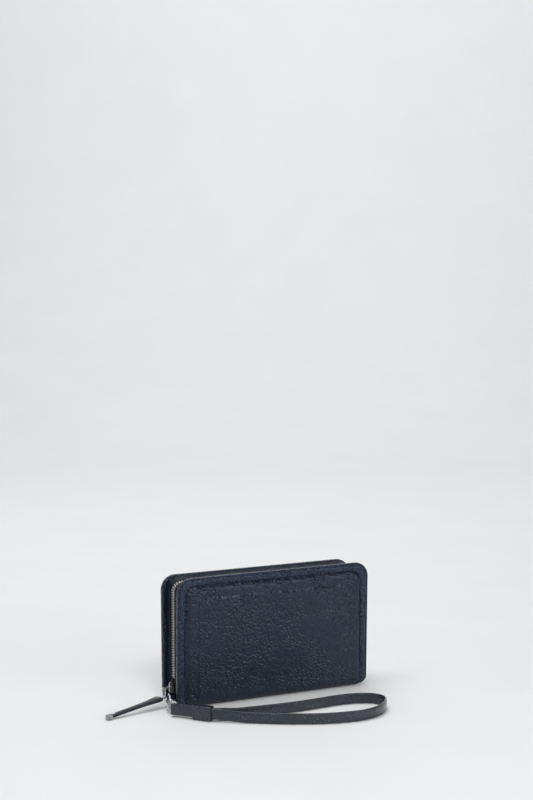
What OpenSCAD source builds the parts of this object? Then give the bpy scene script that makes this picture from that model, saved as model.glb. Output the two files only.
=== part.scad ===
// Zip-around wristlet wallet, standing on its spine, with its wrist strap and zip pull
// laid out on the surface beside it. Millimetres. The origin is the middle of the
// wallet's foot: +X to the right, +Y to the back, +Z up.

/* [Wallet] */
// Width of the wallet
wallet_w = 190; // [180:1:200]
// Height of the front half
wallet_h = 114.5; // [110:0.5:120]
// How much lower the back half is than the front half
back_drop = 2.5; // [0:0.5:3]
// Depth of the wallet just above the spine
depth_foot = 35; // [33:0.5:36]
// Depth of the wallet at the top
depth_top = 39; // [37:0.5:42]
// Corner radius at the top
top_r = 13; // [11:0.5:15]
// Corner radius at the spine
foot_r = 9; // [8:0.5:10]
// Radius of the leather where it folds under the wallet
fold_r = 7; // [6.5:0.1:7.5]

/* [Panels] */
// Thickness of the cover leather
leather_t = 1.2; // [1:0.1:1.4]
// Thickness of the foam under the leather
foam_t = 1.2; // [1:0.1:1.4]
// Thickness of the stiffening board
board_t = 1.3; // [1:0.1:1.5]
// Thickness of the lining
lining_t = 0.8; // [0.5:0.1:1]
// Width of the stitched border
border_w = 7; // [6:0.5:9]

/* [Main zip] */
// How far the zip lies inside the side edges
zip_side_recess = 3.4; // [3.2:0.1:3.8]
// How far the zip lies below the top edge
zip_top_recess = 5.2; // [5:0.1:6]
// Distance between teeth of one row
tooth_pitch = 2.3; // [2.2:0.1:2.6]
// Height of the middle of the closed slider
slider_z = 16; // [15.5:0.5:17]

/* [Interior] */
// Half depth of the coin pocket
pocket_half = 3; // [2.8:0.1:3.2]
// Height of the coin pocket's mouth
pocket_top = 88; // [80:1:89]
// Thickness of one card slot sheet
card_sheet_t = 0.7; // [0.5:0.1:0.8]

/* [Pull] */
// Length of the zip pull from its pivot
pull_len = 63; // [50:1:66]
// Width of the pull at its head
pull_head_w = 8; // [6:0.5:9]
// Width of the pull at its tip
pull_tip_w = 4.6; // [4:0.2:6]

/* [Strap] */
// Width of the wrist strap
strap_w = 9.4; // [9:0.1:9.8]
// Thickness of the wrist strap
strap_t = 2.2; // [1.8:0.1:2.6]
// Length of the strap keeper
keeper_len = 17; // [12:1:18]

/* [Hidden] */
$fn = 48;

navy = [0.11, 0.13, 0.19];
navy_edge = [0.2, 0.22, 0.28];
lining_blue = [0.16, 0.2, 0.3];
foam_grey = [0.5, 0.5, 0.52];
board_grey = [0.62, 0.58, 0.5];
tape_black = [0.03, 0.03, 0.04];
steel = [0.75, 0.76, 0.78];
gunmetal = [0.42, 0.42, 0.44];

half_w = wallet_w / 2;
half_foot = depth_foot / 2;
half_top = depth_top / 2;
fold_y = half_foot + (half_top - half_foot) * fold_r / wallet_h - fold_r;
shell_t = leather_t + foam_t + board_t + lining_t;
back_h = wallet_h - back_drop;
big = 400;

// Where the back half's cover starts to wrap under, and how much room it needs to turn
spine_cover_end = fold_y - sqrt(pow(fold_r, 2) - pow(fold_r - leather_t, 2)) - 0.2;
spine_inner_z = leather_t + 1.4;
spine_inner_end = fold_y - sqrt(pow(fold_r, 2) - pow(fold_r - spine_inner_z, 2)) - 0.2;

// ---------------------------------------------------------------- outlines

// Rounded plate outline in X and Z, inset on the sides and the top, open at the bottom
module plate_outline(height, inset, foot = 0) {
    w = half_w - inset;
    rt = top_r - inset;
    rf = max(foot_r - inset, 1.5);
    for (side = [-1, 1]) {
        translate([side * (w - rt), height - inset - rt]) circle(rt);
        translate([side * (w - rf), foot + rf]) circle(rf);
    }
    translate([-w, foot + rf]) square([2 * w, height - inset - rt - foot - rf]);
    translate([-(w - rt), height - inset - rt]) square([2 * (w - rt), rt]);
    translate([-(w - rf), foot]) square([2 * (w - rf), rf]);
}

// Side profile of the closed wallet in Y and Z, shrunk by an inset
module side_profile(inset) {
    r = fold_r - inset;
    polygon([[-fold_y - r, fold_r], [-half_top + inset, wallet_h + 1],
             [half_top - inset, wallet_h + 1], [fold_y + r, fold_r]]);
    translate([-fold_y, inset]) square([2 * fold_y, fold_r - inset + 0.01]);
    for (side = [-1, 1]) translate([side * fold_y, fold_r]) circle(r);
}

// Extrudes an X and Z outline along all of Y
module along_y() {
    translate([0, big / 2, 0]) rotate([90, 0, 0]) linear_extrude(big) children();
}

// Extrudes a Y and Z profile along all of X
module along_x(length = big) {
    translate([-length / 2, 0, 0]) rotate([90, 0, 90]) linear_extrude(length) children();
}

// One layer of the wallet's shell: from depth outer to depth inner below its surface
module layer(height, inset, outer, inner) {
    intersection() {
        along_y() plate_outline(height, inset);
        along_x() difference() {
            side_profile(outer);
            side_profile(inner);
        }
    }
}

// Keeps the part of its children in front of the middle and above a height
module front_half(low = fold_r) {
    intersection() {
        children();
        translate([-big / 2, -big, low]) cube([big, big, big]);
    }
}

module back_half(low = fold_r) {
    mirror([0, 1, 0]) front_half(low) mirror([0, 1, 0]) children();
}

// ---------------------------------------------------------------- shell layers

// The stitched border strip: it wraps the panel's edge from the face to the inside
module border_strip(height) {
    inner_leg = 5;
    difference() {
        layer(height, 0, 0, leather_t);
        along_y() plate_outline(height, border_w, -1);
    }
    difference() {
        layer(height, 0, 0, shell_t);
        along_y() plate_outline(height, leather_t, -1);
    }
    difference() {
        layer(height, 0, shell_t - lining_t, shell_t);
        along_y() plate_outline(height, inner_leg, -1);
    }
}

module front_border() { color(navy_edge) front_half() border_strip(wallet_h); }
module back_border() { color(navy_edge) back_half() border_strip(back_h); }

// The cover leather: the face inside the border, then the fold under the wallet
module front_cover() {
    color(navy) {
        front_half() intersection() {
            layer(wallet_h, 0, 0, leather_t);
            along_y() plate_outline(wallet_h, border_w, -1);
        }
        intersection() {
            layer(wallet_h, 0, 0, leather_t);
            translate([-big / 2, -big, -1]) cube([big, big + spine_cover_end, fold_r + 1]);
        }
    }
}

module back_cover() {
    color(navy) {
        back_half() intersection() {
            layer(back_h, 0, 0, leather_t);
            along_y() plate_outline(back_h, border_w, -1);
        }
        intersection() {
            layer(back_h, 0, 0, leather_t);
            translate([-big / 2, fold_y, -1]) cube([big, big, fold_r + 1]);
        }
    }
}

module front_padding() {
    color(foam_grey) front_half()
        layer(wallet_h, leather_t, leather_t, leather_t + foam_t);
}

module back_padding() {
    color(foam_grey) back_half()
        layer(back_h, leather_t, leather_t, leather_t + foam_t);
}

module front_stiffener() {
    color(board_grey) front_half()
        layer(wallet_h, leather_t, leather_t + foam_t, shell_t - lining_t);
}

module back_stiffener() {
    color(board_grey) back_half()
        layer(back_h, leather_t, leather_t + foam_t, shell_t - lining_t);
}

module front_lining() {
    color(lining_blue) front_half() layer(wallet_h, 5, shell_t - lining_t, shell_t);
}

module back_lining() {
    color(lining_blue) back_half() layer(back_h, 5, shell_t - lining_t, shell_t);
}

// A flat strip inside the spine, between two heights
module spine_strip(low, high, front_end) {
    margin = 9;
    translate([-half_w + margin, front_end, low])
        cube([wallet_w - 2 * margin, spine_inner_end - front_end, high - low]);
}

module spine_stiffener() { color(board_grey) spine_strip(leather_t, leather_t + 0.8, -fold_y); }
module spine_lining() {
    color(lining_blue) spine_strip(leather_t + 0.8, spine_inner_z, -fold_y);
}

// ---------------------------------------------------------------- side walls and main zip

wall_t = 0.9;
wall_edge_y = 5;
wall_w = half_w - zip_side_recess;
wall_top = wallet_h - zip_top_recess;
wall_r = 9;
wall_foot = 11;
tape_t = 0.6;
tape_gap = 1.5;
chain_inset = wall_t + tape_t / 2;
chain_x = wall_w - chain_inset;
chain_top = wall_top - chain_inset;
chain_r = wall_r - chain_inset;
tooth_t = 0.85;
tooth_half_y = 2.75;
tooth_reach = 0.3;
tooth_half_n = 1.2;

// Arch outline of the zip wall, shrunk by an inset
module arch_outline(inset) {
    w = wall_w - inset;
    r = wall_r - inset;
    for (side = [-1, 1]) translate([side * (w - r), wall_top - inset - r]) circle(r);
    translate([-w, 0]) square([2 * w, wall_top - inset - r]);
    translate([-(w - r), 0]) square([2 * (w - r), wall_top - inset]);
}

// Arch-shaped band between two insets, from a Y distance outward to the panel's inside
module arch_band(outer, inner, near_y, far_y, low) {
    intersection() {
        along_y() difference() {
            arch_outline(outer);
            arch_outline(inner);
        }
        along_x() side_profile(shell_t);
        translate([-big / 2, -far_y, low]) cube([big, far_y - near_y, big]);
    }
}

module side_wall() {
    color(navy) arch_band(0, wall_t, wall_edge_y, half_top, wall_foot);
}

module zip_tape() {
    color(tape_black) arch_band(wall_t, wall_t + tape_t, tape_gap, 8, wall_foot);
}

module front_side_wall() { side_wall(); }
module back_side_wall() { mirror([0, 1, 0]) side_wall(); }
module front_zip_tape() { zip_tape(); }
module back_zip_tape() { mirror([0, 1, 0]) zip_tape(); }

// The chain runs up the left side, over the top and down the right side
chain_low_left = slider_z + 8;
chain_low_right = 22;
side_run = chain_top - chain_r - chain_low_left;
corner_run = chain_r * PI / 2;
top_run = 2 * (chain_x - chain_r);
right_run = chain_top - chain_r - chain_low_right;
chain_run = side_run + 2 * corner_run + top_run + right_run;

// Place on the chain at distance s: X, Z and the turn about Y
function on_corner(side, turn) =
    [side * (chain_x - chain_r) + chain_r * sin(turn), chain_top - chain_r + chain_r * cos(turn), turn];
function chain_at(s) =
    s < side_run ? [-chain_x, chain_low_left + s, -90]
    : s < side_run + corner_run ? on_corner(-1, -90 + 90 * (s - side_run) / corner_run)
    : s < side_run + corner_run + top_run
        ? [-(chain_x - chain_r) + s - side_run - corner_run, chain_top, 0]
    : s < side_run + 2 * corner_run + top_run
        ? on_corner(1, 90 * (s - side_run - corner_run - top_run) / corner_run)
    : [chain_x, chain_low_right + chain_run - s, 90];

// One tooth: a clamp round the tape's edge and a nose across the middle
module tooth() {
    slot = tape_t / 2 + 0.05;
    slot_end = 0.05 - tape_gap;
    shoulder = -0.4;
    along_x(tooth_t) polygon([
        [-tooth_half_y, slot], [-tooth_half_y, tooth_half_n], [shoulder, tooth_half_n],
        [tooth_reach, 0.5], [tooth_reach, -0.5], [shoulder, -tooth_half_n],
        [-tooth_half_y, -tooth_half_n], [-tooth_half_y, -slot],
        [slot_end, -slot], [slot_end, slot]]);
}

module tooth_row(start) {
    color(gunmetal) for (s = [start : tooth_pitch : chain_run]) {
        place = chain_at(s);
        translate([place[0], 0, place[1]]) rotate([0, place[2], 0]) tooth();
    }
}

module front_zip_teeth() { tooth_row(0.5); }
module back_zip_teeth() { mirror([0, 1, 0]) tooth_row(0.5 + tooth_pitch / 2); }

stop_h = 2.4;
left_stop = [-chain_x, wall_foot + 0.2];
right_stop = [chain_x, chain_low_right - stop_h - 0.6];

// Metal stops clamped on the tape where the chain ends
module zip_stops(places) {
    half_x = 1.1;
    near = -0.5;
    far = -2.6;
    slot = tape_t / 2 + 0.05;
    slot_end = 0.05 - tape_gap;
    color(gunmetal) for (place = places) translate([place[0], 0, place[1]])
        linear_extrude(stop_h) polygon([
            [-half_x, far], [-half_x, near], [half_x, near], [half_x, far],
            [slot, far], [slot, slot_end], [-slot, slot_end], [-slot, far]]);
}

// The back row has no stop beside the slider, which the opening half would drag through it
module front_zip_stops() { zip_stops([left_stop, right_stop]); }
module back_zip_stops() { mirror([0, 1, 0]) zip_stops([right_stop]); }

// ---------------------------------------------------------------- interior

// Each half of the side gussets: a thin leaf from the panel to the middle fold
module gusset_leaves() {
    leaf_t = 0.6;
    low = 12;
    high = 78;
    fold_x = 84.6;
    root_x = 89.2;
    root_y = half_foot - shell_t;
    color(lining_blue) intersection() {
        along_x() side_profile(shell_t);
        union() for (side = [-1, 1]) translate([0, 0, low]) linear_extrude(high - low)
            polygon([[side * root_x, -half_top], [side * root_x, -root_y], [side * fold_x, -0.5],
                     [side * (fold_x + leaf_t), -0.5], [side * (root_x + leaf_t), -root_y],
                     [side * (root_x + leaf_t), -half_top]]);
    }
}

module front_gussets() { gusset_leaves(); }
module back_gussets() { mirror([0, 1, 0]) gusset_leaves(); }

// One pair of card slot sheets on the lining, counted from the board outward
module card_slots(level, high) {
    column_gap = 1.5;
    margin = 8;
    low = 12;
    color(lining_blue) front_half(low) intersection() {
        along_x() difference() {
            side_profile(shell_t + level * card_sheet_t);
            side_profile(shell_t + (level + 1) * card_sheet_t);
        }
        union() for (side = [-1, 1])
            translate([side > 0 ? column_gap : -half_w + margin, -half_top, low])
                cube([half_w - margin - column_gap, half_top, high - low]);
    }
}

card_tops = [88, 76, 64];
module front_card_slot_high() { card_slots(0, card_tops[0]); }
module front_card_slot_middle() { card_slots(1, card_tops[1]); }
module front_card_slot_low() { card_slots(2, card_tops[2]); }
module back_card_slot_high() { mirror([0, 1, 0]) card_slots(0, card_tops[0]); }
module back_card_slot_middle() { mirror([0, 1, 0]) card_slots(1, card_tops[1]); }
module back_card_slot_low() { mirror([0, 1, 0]) card_slots(2, card_tops[2]); }

pocket_x = 82;
pocket_low = 10;
pocket_wall = 0.5;
coin_tape_t = 0.5;

module coin_pocket() {
    color(lining_blue) difference() {
        translate([-pocket_x, -pocket_half, pocket_low])
            cube([2 * pocket_x, 2 * pocket_half, pocket_top - pocket_low]);
        translate([-pocket_x + pocket_wall, -pocket_half + pocket_wall, pocket_low + pocket_wall])
            cube([2 * (pocket_x - pocket_wall), 2 * (pocket_half - pocket_wall), pocket_top]);
    }
}

module coin_zip_tapes() {
    color(tape_black) for (side = [-1, 1]) mirror([0, side > 0 ? 1 : 0, 0])
        translate([-pocket_x, -pocket_half, pocket_top])
            cube([2 * pocket_x, pocket_half - 1.3, coin_tape_t]);
}

module coin_zip_teeth() {
    row_end = pocket_x - 8;
    color(gunmetal) for (x = [-row_end : tooth_pitch : row_end - 2]) {
        translate([x, -1.3, pocket_top - 0.3]) cube([tooth_t, 1.9, 1.2]);
        translate([x + tooth_pitch / 2, -0.6, pocket_top - 0.3]) cube([tooth_t, 1.9, 1.2]);
    }
}

coin_slider_x = pocket_x - 6;
coin_bridge_z = pocket_top + 3;
coin_slider_len = 7;
coin_slider_t = 0.8;
coin_pull_wire = 0.55;
coin_pull_half = 1.95;

// A block centred on X and Y, standing from a height
module centred_block(size, low) {
    translate([-size[0] / 2, -size[1] / 2, low]) cube(size);
}

module coin_slider() {
    color(steel) translate([coin_slider_x, 0, 0]) {
        centred_block([coin_slider_len, 4.8, coin_slider_t], pocket_top + 1.1);
        centred_block([coin_slider_len, 4.4, coin_slider_t], pocket_top - 1.4);
        difference() {
            centred_block([5, 1.4, 2.2], pocket_top + 1.1 + coin_slider_t);
            translate([0, 2, coin_bridge_z]) rotate([90, 0, 0]) cylinder(h = 4, r = 0.8);
        }
    }
}

// A wire loop through the bridge, with a flat grip at its far end
module coin_slider_pull() {
    arm = 9;
    grip = 5.6;
    color(steel) translate([coin_slider_x, 0, coin_bridge_z]) {
        translate([0, coin_pull_half, 0]) rotate([90, 0, 0])
            cylinder(h = 2 * coin_pull_half, r = coin_pull_wire);
        for (side = [-1, 1]) translate([-arm / 2, side * (coin_pull_half - 0.45), 0])
            centred_block([arm, 0.9, 2 * coin_pull_wire], -coin_pull_wire);
        translate([0.1 - arm - grip / 2, 0, 0])
            centred_block([grip, 2 * coin_pull_half, 2 * coin_pull_wire], -coin_pull_wire);
    }
}

// ---------------------------------------------------------------- slider and pull

slider_plate_t = 0.8;
slider_play_n = 0.2;
bridge_t = 0.7;
bridge_half_y = 0.6;
bridge_hole_w = 2;
plate_x = -chain_x - tooth_half_n - slider_play_n - slider_plate_t;
link_x = plate_x - 1.15;
link_z = slider_z;
link_turn = 196;
link_wire = 0.5;
link_arm = 7.4;
link_drop = 7.6;
link_half_y = 1.6;

// Shield outline of a slider plate, Y across and Z along the chain
module slider_outline(grow = 0) {
    polygon([[-2.6, -5.4 - grow], [2.6, -5.4 - grow], [4.5, -3], [4.5, 3], [3.4, 5.2 + grow],
             [-3.4, 5.2 + grow], [-4.5, 3], [-4.5, -3]]);
}

module on_slider(x, thickness) {
    translate([x, 0, slider_z]) rotate([90, 0, 90]) linear_extrude(thickness) children();
}

// Rails along both sides of a plate, which leave the tape its gap
module slider_flanges(x) {
    for (side = [-1, 1]) translate([x - 0.01, side * 4.2 - 0.3, slider_z - 3])
        cube([0.9, 0.6, 6]);
}

// Arch of the bridge in X and Z, shrunk by an inset
module bridge_outline(inset) {
    rise = bridge_hole_w + bridge_t - inset;
    half_h = 4.7 - inset;
    corner = 1.6 - inset;
    translate([plate_x, slider_z]) {
        translate([corner - rise, -half_h]) square([rise - corner + 0.01, 2 * half_h]);
        translate([-rise, corner - half_h]) square([rise, 2 * (half_h - corner)]);
        for (side = [-1, 1])
            translate([corner - rise, side * (half_h - corner)]) circle(corner);
    }
}

module slider_body() {
    color(steel) {
        on_slider(plate_x, slider_plate_t) slider_outline();
        slider_flanges(plate_x + slider_plate_t);
        translate([0, bridge_half_y, 0]) rotate([90, 0, 0]) linear_extrude(2 * bridge_half_y)
            difference() {
                bridge_outline(0);
                bridge_outline(bridge_t);
            }
    }
}

module slider_base() {
    color(steel) {
        base_x = -chain_x + tooth_half_n + slider_play_n;
        on_slider(base_x, slider_plate_t) slider_outline();
        slider_flanges(base_x - 0.88);
    }
}

// The pull's frame: X runs outward from the slider, origin at the link's upper pivot
module link_frame() {
    translate([link_x, 0, link_z]) rotate([0, 0, link_turn]) children();
}

module link_rod(length, turn) {
    rotate(turn) cylinder(h = length, r = link_wire);
}

// A wire frame bent at a right angle: out over the rim, then down to the pull
module pull_link() {
    color(steel) link_frame() {
        translate([0, -link_half_y, 0]) link_rod(2 * link_half_y, [-90, 0, 0]);
        translate([link_arm, -link_half_y, -link_drop]) link_rod(2 * link_half_y, [-90, 0, 0]);
        for (side = [-1, 1]) translate([0, side * link_half_y, 0]) {
            link_rod(link_arm, [0, 90, 0]);
            translate([link_arm, 0, -link_drop]) link_rod(link_drop, [0, 0, 0]);
            sphere(link_wire);
            translate([link_arm, 0, 0]) sphere(link_wire);
            translate([link_arm, 0, -link_drop]) sphere(link_wire);
        }
    }
}

pull_slope = 5.6;
cap_len = 5;
pull_start = 3.2;
tongue_len = 10;
tongue_t = 0.8;
pull_leather_t = 1.2;
rivet_r = 0.9;
rivet_play = 0.05;
rivet_at = [7.5, pull_len - cap_len - 2.6];

module pull_frame() {
    link_frame() translate([link_arm, 0, -link_drop]) rotate([0, pull_slope, 0]) children();
}

module rivet_holes() {
    for (x = rivet_at) translate([x, 0, -5]) cylinder(h = 10, r = rivet_r + rivet_play);
}

// Plan of the leather: a wide rounded head that tapers to the tip
module pull_outline(start) {
    head = pull_head_w / 2;
    tip = pull_tip_w / 2;
    last = pull_len - cap_len;
    polygon([[start, -head + 1.4], [start + 1.4, -head], [13, -head], [22, -tip - 0.7],
             [32, -tip], [last, -tip], [last, tip], [32, tip], [22, tip + 0.7], [13, head],
             [start + 1.4, head], [start, head - 1.4]]);
}

// A metal strip with an eye round the link, riveted between the leathers
module pull_tongue() {
    half_y = 1.1;
    eye_r = 1.4;
    color(steel) pull_frame() difference() {
        union() {
            translate([0, half_y, 0]) rotate([90, 0, 0]) cylinder(h = 2 * half_y, r = eye_r);
            translate([0, -half_y, -tongue_t / 2]) cube([tongue_len, 2 * half_y, tongue_t]);
        }
        translate([0, 2, 0]) rotate([90, 0, 0]) cylinder(h = 4, r = link_wire + 0.15);
        rivet_holes();
    }
}

module pull_leather(low) {
    color(navy) pull_frame() difference() {
        translate([0, 0, low]) linear_extrude(pull_leather_t) pull_outline(pull_start);
        rivet_holes();
    }
}

module pull_leather_top() { pull_leather(tongue_t / 2); }
module pull_leather_bottom() { pull_leather(-tongue_t / 2 - pull_leather_t); }

// The filler between the two leathers, past the metal tongue
module pull_core() {
    color(navy_edge) pull_frame() difference() {
        intersection() {
            translate([tongue_len + 0.3, -pull_head_w, -tongue_t / 2])
                cube([pull_len, 2 * pull_head_w, tongue_t]);
            translate([0, 0, -1]) linear_extrude(2) pull_outline(pull_start);
        }
        rivet_holes();
    }
}

module pull_rivets() {
    head_t = 0.35;
    half_stack = tongue_t / 2 + pull_leather_t;
    color(steel) pull_frame() for (x = rivet_at) translate([x, 0, 0]) {
        translate([0, 0, -half_stack]) cylinder(h = 2 * half_stack, r = rivet_r);
        for (side = [0, 1]) mirror([0, 0, side]) translate([0, 0, half_stack])
            cylinder(h = head_t, r = 1.5);
    }
}

module pull_end_cap() {
    half_cap = tongue_t / 2 + pull_leather_t + 0.15;
    color(gunmetal) pull_frame() translate([pull_len - cap_len, 0, -half_cap])
        linear_extrude(2 * half_cap) {
            translate([0, -pull_tip_w / 2 - 0.1]) square([cap_len - 1.2, pull_tip_w + 0.2]);
            translate([0, -pull_tip_w / 2 + 1.1]) square([cap_len, pull_tip_w - 2.2]);
            for (side = [-1, 1]) translate([cap_len - 1.2, side * (pull_tip_w / 2 - 1.1)])
                circle(1.2);
        }
}

// ---------------------------------------------------------------- D-ring, clasp and strap

hang_z = 6.7;
ring_post = [-97.5, -5];
strap_bar = [-106, -34];
clasp_vec = strap_bar - ring_post;
clasp_run = norm(clasp_vec);
clasp_turn = atan2(clasp_vec[1], clasp_vec[0]);
ring_wire = 0.9;
d_radius = 4.6;
d_leg = 3.5;
d_tip = d_leg + d_radius;

// The hanging chain's frame: X runs from the D-ring's post to the strap's bar
module clasp_frame(along = 0) {
    translate([ring_post[0], ring_post[1], hang_z]) rotate([0, 0, clasp_turn])
        translate([along, 0, 0]) children();
}

// A leather tab folded round the D-ring's post, sewn down on the spine inside
module d_ring_tab() {
    fold = 2;
    tab_h = 7;
    root_x = -85;
    root_len = 8.5;
    color(navy) difference() {
        translate([0, ring_post[1], hang_z - tab_h / 2]) {
            translate([ring_post[0], 0, 0]) cylinder(h = tab_h, r = fold);
            translate([ring_post[0], -fold, 0])
                cube([root_x - ring_post[0], 2 * fold, tab_h]);
            translate([root_x - root_len, -fold, spine_inner_z - hang_z + tab_h / 2])
                cube([root_len, 2 * fold, tab_h - 1]);
        }
        translate([ring_post[0], ring_post[1], 0]) cylinder(h = 20, r = ring_wire + 0.1);
    }
}

module d_ring() {
    color(steel) clasp_frame() {
        translate([0, 0, -d_radius]) cylinder(h = 2 * d_radius, r = ring_wire);
        for (side = [-1, 1]) translate([0, 0, side * d_radius]) {
            sphere(ring_wire);
            rotate([0, 90, 0]) cylinder(h = d_leg, r = ring_wire);
        }
        translate([d_leg, 0, 0]) rotate([90, 0, 0]) rotate([0, 0, -90])
            rotate_extrude(angle = 180) translate([d_radius, 0]) circle(ring_wire);
    }
}

hook_t = 2.8;
hook_half = 4;
hook_slot = 2;
hook_far = -3.2;
hook_end = 11;
slot_near = 8.2;
gate_x = 9.2;
gate_y = 2.9;
gate_tip = 2.3;
knuckle_r = 1.15;
knuckle_t = 1.3;
pin_bore = 0.5;
neck_bore = 0.9;

// The hook's plan: an oval loop with a solid tail; its mouth is closed by the gate
module hook_outline() {
    difference() {
        union() {
            translate([0, -hook_half]) square([hook_end, 2 * hook_half]);
            intersection() {
                circle(hook_half);
                translate([hook_far, -hook_half]) square([5, 2 * hook_half]);
            }
        }
        translate([0.5, 0]) circle(hook_slot);
        translate([0.5, -hook_slot]) square([slot_near - 0.5, 2 * hook_slot]);
        translate([2, 1]) square([gate_x - 2, 4]);
    }
}

module clasp_hook() {
    color(steel) clasp_frame(d_tip) difference() {
        union() {
            translate([0, 0, -hook_t / 2]) linear_extrude(hook_t) hook_outline();
            translate([gate_x, gate_y, -hook_t / 2]) cylinder(h = hook_t, r = knuckle_r);
        }
        translate([gate_x, gate_y, -knuckle_t / 2 - 0.1])
            cylinder(h = knuckle_t + 0.2, r = knuckle_r + 0.2);
        translate([gate_x - 3, gate_y - knuckle_r - 0.2, -knuckle_t / 2 - 0.1])
            cube([3, 2 * knuckle_r + 1, knuckle_t + 0.2]);
        translate([gate_x, gate_y, -5]) cylinder(h = 10, r = pin_bore);
        translate([6, 0, 0]) rotate([0, 90, 0]) cylinder(h = 10, r = neck_bore);
    }
}

// The sprung gate: a knuckle on the pin, a bar across the mouth and a thumb knob
module clasp_gate() {
    knob_x = 3.6;
    color(steel) clasp_frame(d_tip) difference() {
        union() {
            translate([gate_x, gate_y, -knuckle_t / 2]) cylinder(h = knuckle_t, r = knuckle_r);
            translate([gate_tip, gate_y - 0.65, -knuckle_t / 2])
                cube([gate_x - gate_tip, 1.3, knuckle_t]);
            translate([knob_x, gate_y + 1.3, 0]) {
                sphere(1.1);
                rotate([90, 0, 0]) cylinder(h = 1.2, r = 0.5);
            }
        }
        translate([gate_x, gate_y, -5]) cylinder(h = 10, r = pin_bore);
    }
}

module gate_pin() {
    color(steel) clasp_frame(d_tip) translate([gate_x, gate_y, -hook_t / 2])
        cylinder(h = hook_t, r = 0.42);
}

// The torsion spring's coil lies round the pin, under the hook's lower cheek
module gate_spring() {
    color(gunmetal) clasp_frame(d_tip) translate([gate_x, gate_y, -hook_t / 2 - 0.5])
        difference() {
            cylinder(h = 0.45, r = 0.9);
            translate([0, 0, -1]) cylinder(h = 3, r = pin_bore);
        }
}

strap_wire = 0.75;
ring_half_z = 5.75;
ring_front = 15.4;

module swivel_ring() {
    bar = clasp_run - d_tip;
    color(steel) clasp_frame(d_tip) {
        translate([7, 0, 0]) rotate([0, 90, 0]) {
            cylinder(h = 1.1, r = 1.3);
            cylinder(h = ring_front - 7.2, r = 0.7);
        }
        translate([12.9, 0, 0]) rotate([0, 90, 0]) sphere(1.7);
        for (x = [ring_front, bar]) {
            translate([x, 0, -ring_half_z]) cylinder(h = 2 * ring_half_z, r = strap_wire);
            for (side = [-1, 1]) translate([x, 0, side * ring_half_z])
                sphere(1.1 * strap_wire);
        }
        for (side = [-1, 1]) translate([ring_front, 0, side * ring_half_z])
            rotate([0, 90, 0]) cylinder(h = bar - ring_front, r = strap_wire);
    }
}

// The strap lies on edge. Plan points of its loop, from the keeper round the front
// strand, the far bend and the back strand to the keeper again
neck_end = [-82, -63];
loop_points = [[-83.2, -63.3], [-66, -76], [-50, -87], [-34, -97], [-17, -106], [0, -113],
    [17, -117], [34, -118], [51, -112.5], [64, -101.5], [70.5, -88.5], [66, -76.5], [53, -70],
    [36, -68], [18, -69], [0, -70], [-17, -69.5], [-34, -68], [-50, -66.5], [-66, -64.5],
    [-81.5, -61.9]];
neck_vec = neck_end - strap_bar;
neck_turn = atan2(neck_vec[1], neck_vec[0]);
neck_low = 1.9;
neck_w = 9.6;
loop_low = 0.3;
fold_half = 2.6;

// Catmull-Rom curve through the points, open at both ends
function at(points, i) = points[min(max(i, 0), len(points) - 1)];
function curve_point(points, i, t) =
    let (a = at(points, i - 1), b = at(points, i), c = at(points, i + 1), d = at(points, i + 2))
    0.5 * (2 * b + (c - a) * t + (2 * a - 5 * b + 4 * c - d) * t * t
        + (3 * b - a - 3 * c + d) * t * t * t);
curve_steps = 3;
loop_curve = [for (i = [0 : len(loop_points) - 2]) for (k = [0 : curve_steps - 1])
    curve_point(loop_points, i, k / curve_steps), loop_points[len(loop_points) - 1]];
function side_step(points, i) =
    let (v = at(points, i + 1) - at(points, i - 1)) [-v[1], v[0]] / norm(v);
function offset_line(points, distance) =
    [for (i = [0 : len(points) - 1]) points[i] + distance * side_step(points, i)];

module ribbon(points, thickness) {
    outer = offset_line(points, -thickness / 2);
    inner = offset_line(points, thickness / 2);
    polygon(concat(outer, [for (i = [len(inner) - 1 : -1 : 0]) inner[i]]));
}

// The two ends of the loop side by side, folded round the strap ring's bar
module neck_plan() {
    length = norm(neck_vec);
    translate(strap_bar) rotate(neck_turn) difference() {
        union() {
            circle(fold_half);
            polygon([[0, -fold_half], [length, -strap_t], [length, strap_t], [0, fold_half]]);
        }
        circle(strap_wire + 0.2);
    }
}

module strap() {
    color(navy) {
        translate([0, 0, neck_low]) linear_extrude(neck_w) neck_plan();
        translate([0, 0, loop_low]) linear_extrude(strap_w) ribbon(loop_curve, strap_t);
    }
}

module strap_keeper() {
    band_t = 0.9;
    play = 0.15;
    wide = strap_t + play;
    start = norm(neck_vec) - keeper_len - 1;
    color(navy_edge) translate([strap_bar[0], strap_bar[1], 0]) rotate([0, 0, neck_turn])
        translate([start, 0, 0]) difference() {
            translate([0, -wide - band_t - 0.3, neck_low - play - band_t])
                cube([keeper_len, 2 * (wide + band_t + 0.3), neck_w + 2 * (play + band_t)]);
            translate([-1, -wide - 0.3, neck_low - play])
                cube([keeper_len + 2, 2 * (wide + 0.3), neck_w + 2 * play]);
        }
}

// ---------------------------------------------------------------- nodes

front_cover();
front_border();
front_padding();
front_stiffener();
front_lining();
front_side_wall();
front_zip_tape();
front_zip_teeth();
front_zip_stops();
front_gussets();
front_card_slot_low();
front_card_slot_middle();
front_card_slot_high();
spine_stiffener();
spine_lining();
d_ring_tab();
back_cover();
back_border();
back_padding();
back_stiffener();
back_lining();
back_side_wall();
back_zip_tape();
back_zip_teeth();
back_zip_stops();
back_gussets();
back_card_slot_low();
back_card_slot_middle();
back_card_slot_high();
coin_pocket();
coin_zip_tapes();
coin_zip_teeth();
coin_slider();
coin_slider_pull();
slider_body();
slider_base();
pull_link();
pull_tongue();
pull_leather_top();
pull_leather_bottom();
pull_core();
pull_rivets();
pull_end_cap();
d_ring();
clasp_hook();
clasp_gate();
gate_pin();
gate_spring();
swivel_ring();
strap();
strap_keeper();
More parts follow.
